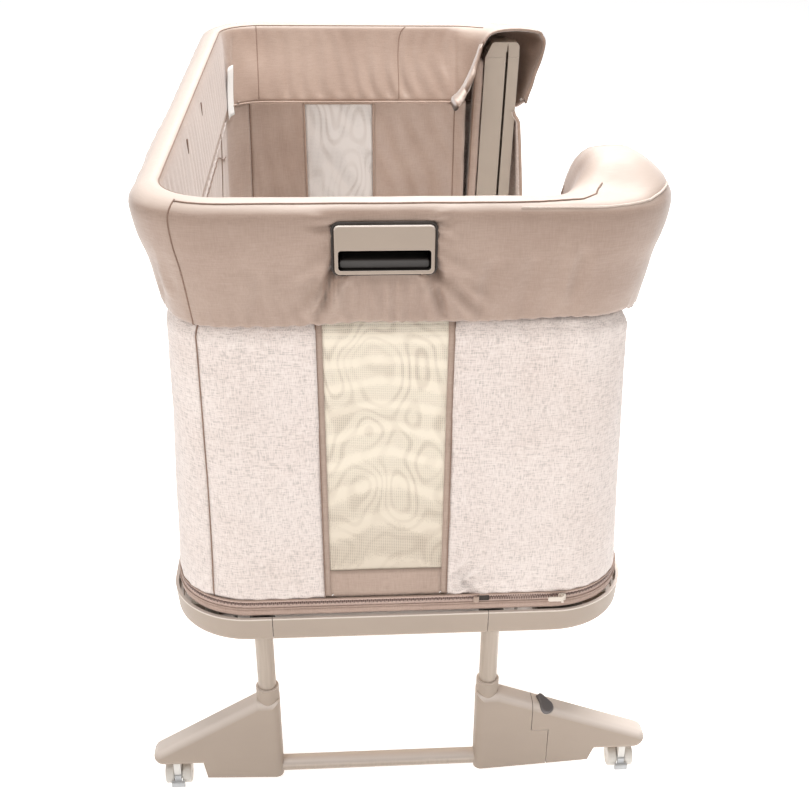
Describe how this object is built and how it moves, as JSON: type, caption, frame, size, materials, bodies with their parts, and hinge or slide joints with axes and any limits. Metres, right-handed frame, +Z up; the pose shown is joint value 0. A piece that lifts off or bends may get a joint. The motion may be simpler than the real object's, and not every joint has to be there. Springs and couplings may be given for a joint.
{
  "type": "bedside bassinet on stand",
  "caption": "Bedside bassinet: fabric cot with padded collar, mesh end windows and lowered drop side, on two height-adjustable legs with folding toes and braked casters",
  "frame": {"origin": "centre of the footprint, on the floor", "axes": "+Z up, +Y along the length of the cot, +X towards the drop side"},
  "size_m": [0.63, 0.982, 0.8001],
  "materials": {
    "plastic_greige": "moulded, fine satin grain",
    "tube_paint": "satin powder coat",
    "frame_paint": "satin powder coat",
    "sleeve_steel": "plain drawn tube",
    "pin_steel": "turned, plain",
    "button_grey": "smooth satin",
    "lever_dark": "satin",
    "post_plastic": "extruded, satin",
    "bush_plastic": "smooth acetal",
    "base_board": "fibreboard",
    "caster_white": "smooth nylon",
    "wheel_white": "soft tread",
    "caster_grey": "smooth",
    "collar_satin": "padded taupe polyester satin",
    "linen": "heather linen-look weave",
    "mesh_cream": "two layers of cream mesh",
    "lining_satin": "taupe polyester lining",
    "zip_rose": "rose-beige zip tape",
    "zip_cream": "painted zip slider",
    "mattress_white": "quilted cover"
  },
  "bodies": {
    "near_stand": {"near_left_foot": "plastic_greige", "near_right_foot": "plastic_greige", "near_crossbar": "tube_paint", "near_leg_tubes": "tube_paint", "near_toe_hinge_pin": "pin_steel"},
    "far_stand": {"far_left_foot": "plastic_greige", "far_right_foot": "plastic_greige", "far_crossbar": "tube_paint", "far_leg_tubes": "tube_paint", "far_toe_hinge_pin": "pin_steel"},
    "basket": {"tray_left": "plastic_greige", "tray_right": "plastic_greige", "tray_middles": "plastic_greige", "tray_screws": "pin_steel", "base_panel": "base_board", "sleeve_tubes": "sleeve_steel", "tube_bushes": "bush_plastic", "near_post": "post_plastic", "far_post": "post_plastic", "post_caps": "post_plastic", "rim_frame": "frame_paint", "near_handle_housing": "plastic_greige", "far_handle_housing": "plastic_greige", "near_wall": "linen", "far_wall": "linen", "left_wall": "linen", "mesh_windows": "mesh_cream", "base_skirt": "zip_rose", "zip_tape": "zip_rose", "lining": "lining_satin", "collar": "collar_satin", "mattress": "mattress_white", "side_panel": "lining_satin"},
    "drop_rail": {"side_rail": "frame_paint", "rail_sliders": "post_plastic", "rail_cover": "collar_satin"},
    "zip_slider_body": {"zip_slider": "zip_cream"},
    "zip_pull_body": {"zip_pull": "zip_cream"},
    "near_toe_body": {"near_toe": "plastic_greige"},
    "near_toe_button_body": {"near_toe_button": "button_grey"},
    "near_lever_body": {"near_height_lever": "lever_dark"},
    "near_plunger_body": {"near_lock_plungers": "pin_steel"},
    "near_rail_button_body": {"near_rail_button": "button_grey"},
    "near_left_swivel_body": {"near_left_caster_fork": "caster_white"},
    "near_left_wheels_body": {"near_left_caster_wheels": "wheel_white"},
    "near_left_brake_body": {"near_left_caster_brake": "caster_grey"},
    "near_right_swivel_body": {"near_right_caster_fork": "caster_white"},
    "near_right_wheels_body": {"near_right_caster_wheels": "wheel_white"},
    "near_right_brake_body": {"near_right_caster_brake": "caster_grey"},
    "far_toe_body": {"far_toe": "plastic_greige"},
    "far_toe_button_body": {"far_toe_button": "button_grey"},
    "far_lever_body": {"far_height_lever": "lever_dark"},
    "far_plunger_body": {"far_lock_plungers": "pin_steel"},
    "far_rail_button_body": {"far_rail_button": "button_grey"},
    "far_left_swivel_body": {"far_left_caster_fork": "caster_white"},
    "far_left_wheels_body": {"far_left_caster_wheels": "wheel_white"},
    "far_left_brake_body": {"far_left_caster_brake": "caster_grey"},
    "far_right_swivel_body": {"far_right_caster_fork": "caster_white"},
    "far_right_wheels_body": {"far_right_caster_wheels": "wheel_white"},
    "far_right_brake_body": {"far_right_caster_brake": "caster_grey"}
  },
  "joints": [
    {"name": "height", "type": "slide", "parent": "near_stand", "child": "basket", "axis": [0, 0, 1], "range_m": [-0.06, 0.1]},
    {"name": "far_height", "type": "slide", "parent": "basket", "child": "far_stand", "axis": [0, 0, 1], "range_m": [-0.1, 0.06]},
    {"name": "drop_side", "type": "slide", "parent": "basket", "child": "drop_rail", "axis": [0.028, 0, 0.9996], "range_m": [0, 0.408], "deforming": ["side_panel"]},
    {"name": "near_toe_fold", "type": "hinge", "parent": "near_stand", "child": "near_toe_body", "pos_m": [0.1648, -0.408, 0.09], "axis": [0, 0, 1], "range_deg": [0, 90]},
    {"name": "near_toe_release", "type": "slide", "parent": "near_toe_body", "child": "near_toe_button_body", "axis": [-0.3003, 0.4504, -0.8408], "range_m": [0, 0.003], "stiffness_N_per_m": 800},
    {"name": "near_lever_squeeze", "type": "slide", "parent": "basket", "child": "near_lever_body", "axis": [0, 0, 1], "range_m": [0, 0.008], "stiffness_N_per_m": 600, "springref_m": -0.002},
    {"name": "near_plunger_lift", "type": "slide", "parent": "basket", "child": "near_plunger_body", "axis": [0, 1, 0], "range_m": [0, 0.003]},
    {"name": "near_rail_release", "type": "slide", "parent": "drop_rail", "child": "near_rail_button_body", "axis": [-1, 0, 0], "range_m": [0, 0.003], "stiffness_N_per_m": 800},
    {"name": "near_left_swivel", "type": "hinge", "parent": "near_stand", "child": "near_left_swivel_body", "pos_m": [-0.288, -0.43, 0.045], "axis": [0, 0, 1], "continuous": true},
    {"name": "near_left_roll", "type": "hinge", "parent": "near_left_swivel_body", "child": "near_left_wheels_body", "pos_m": [-0.288, -0.425, 0.0145], "axis": [1, 0, 0], "continuous": true},
    {"name": "near_left_brake_press", "type": "hinge", "parent": "near_left_swivel_body", "child": "near_left_brake_body", "pos_m": [-0.288, -0.4365, 0.021], "axis": [1, 0, 0], "range_deg": [0, 8]},
    {"name": "near_right_swivel", "type": "hinge", "parent": "near_toe_body", "child": "near_right_swivel_body", "pos_m": [0.288, -0.43, 0.045], "axis": [0, 0, 1], "continuous": true},
    {"name": "near_right_roll", "type": "hinge", "parent": "near_right_swivel_body", "child": "near_right_wheels_body", "pos_m": [0.288, -0.425, 0.0145], "axis": [1, 0, 0], "continuous": true},
    {"name": "near_right_brake_press", "type": "hinge", "parent": "near_right_swivel_body", "child": "near_right_brake_body", "pos_m": [0.288, -0.4365, 0.021], "axis": [1, 0, 0], "range_deg": [0, 8]},
    {"name": "far_toe_fold", "type": "hinge", "parent": "far_stand", "child": "far_toe_body", "pos_m": [0.1648, 0.408, 0.09], "axis": [0, 0, -1], "range_deg": [0, 90]},
    {"name": "far_toe_release", "type": "slide", "parent": "far_toe_body", "child": "far_toe_button_body", "axis": [-0.3003, -0.4504, -0.8408], "range_m": [0, 0.003], "stiffness_N_per_m": 800},
    {"name": "far_lever_squeeze", "type": "slide", "parent": "basket", "child": "far_lever_body", "axis": [0, 0, 1], "range_m": [0, 0.008], "stiffness_N_per_m": 600, "springref_m": -0.002},
    {"name": "far_plunger_lift", "type": "slide", "parent": "basket", "child": "far_plunger_body", "axis": [0, -1, 0], "range_m": [0, 0.003]},
    {"name": "far_rail_release", "type": "slide", "parent": "drop_rail", "child": "far_rail_button_body", "axis": [-1, 0, 0], "range_m": [0, 0.003], "stiffness_N_per_m": 800},
    {"name": "far_left_swivel", "type": "hinge", "parent": "far_stand", "child": "far_left_swivel_body", "pos_m": [-0.288, 0.43, 0.045], "axis": [0, 0, 1], "continuous": true},
    {"name": "far_left_roll", "type": "hinge", "parent": "far_left_swivel_body", "child": "far_left_wheels_body", "pos_m": [-0.288, 0.425, 0.0145], "axis": [1, 0, 0], "continuous": true},
    {"name": "far_left_brake_press", "type": "hinge", "parent": "far_left_swivel_body", "child": "far_left_brake_body", "pos_m": [-0.288, 0.4365, 0.021], "axis": [-1, 0, 0], "range_deg": [0, 8]},
    {"name": "far_right_swivel", "type": "hinge", "parent": "far_toe_body", "child": "far_right_swivel_body", "pos_m": [0.288, 0.43, 0.045], "axis": [0, 0, 1], "continuous": true},
    {"name": "far_right_roll", "type": "hinge", "parent": "far_right_swivel_body", "child": "far_right_wheels_body", "pos_m": [0.288, 0.425, 0.0145], "axis": [1, 0, 0], "continuous": true},
    {"name": "far_right_brake_press", "type": "hinge", "parent": "far_right_swivel_body", "child": "far_right_brake_body", "pos_m": [0.288, 0.4365, 0.021], "axis": [-1, 0, 0], "range_deg": [0, 8]},
    {"name": "zip_run", "type": "slide", "parent": "basket", "child": "zip_slider_body", "axis": [-1, 0, 0], "range_m": [0, 0.1]},
    {"name": "zip_pull_swing", "type": "hinge", "parent": "zip_slider_body", "child": "zip_pull_body", "pos_m": [0.187, -0.4568, 0.294], "axis": [0, 0, 1], "range_deg": [0, 180]}
  ],
  "couplings": [
    {"joint": "far_height", "follows": "height", "ratio": -1},
    {"joint": "near_plunger_lift", "follows": "near_lever_squeeze", "ratio": 0.375},
    {"joint": "far_plunger_lift", "follows": "far_lever_squeeze", "ratio": 0.375}
  ]
}
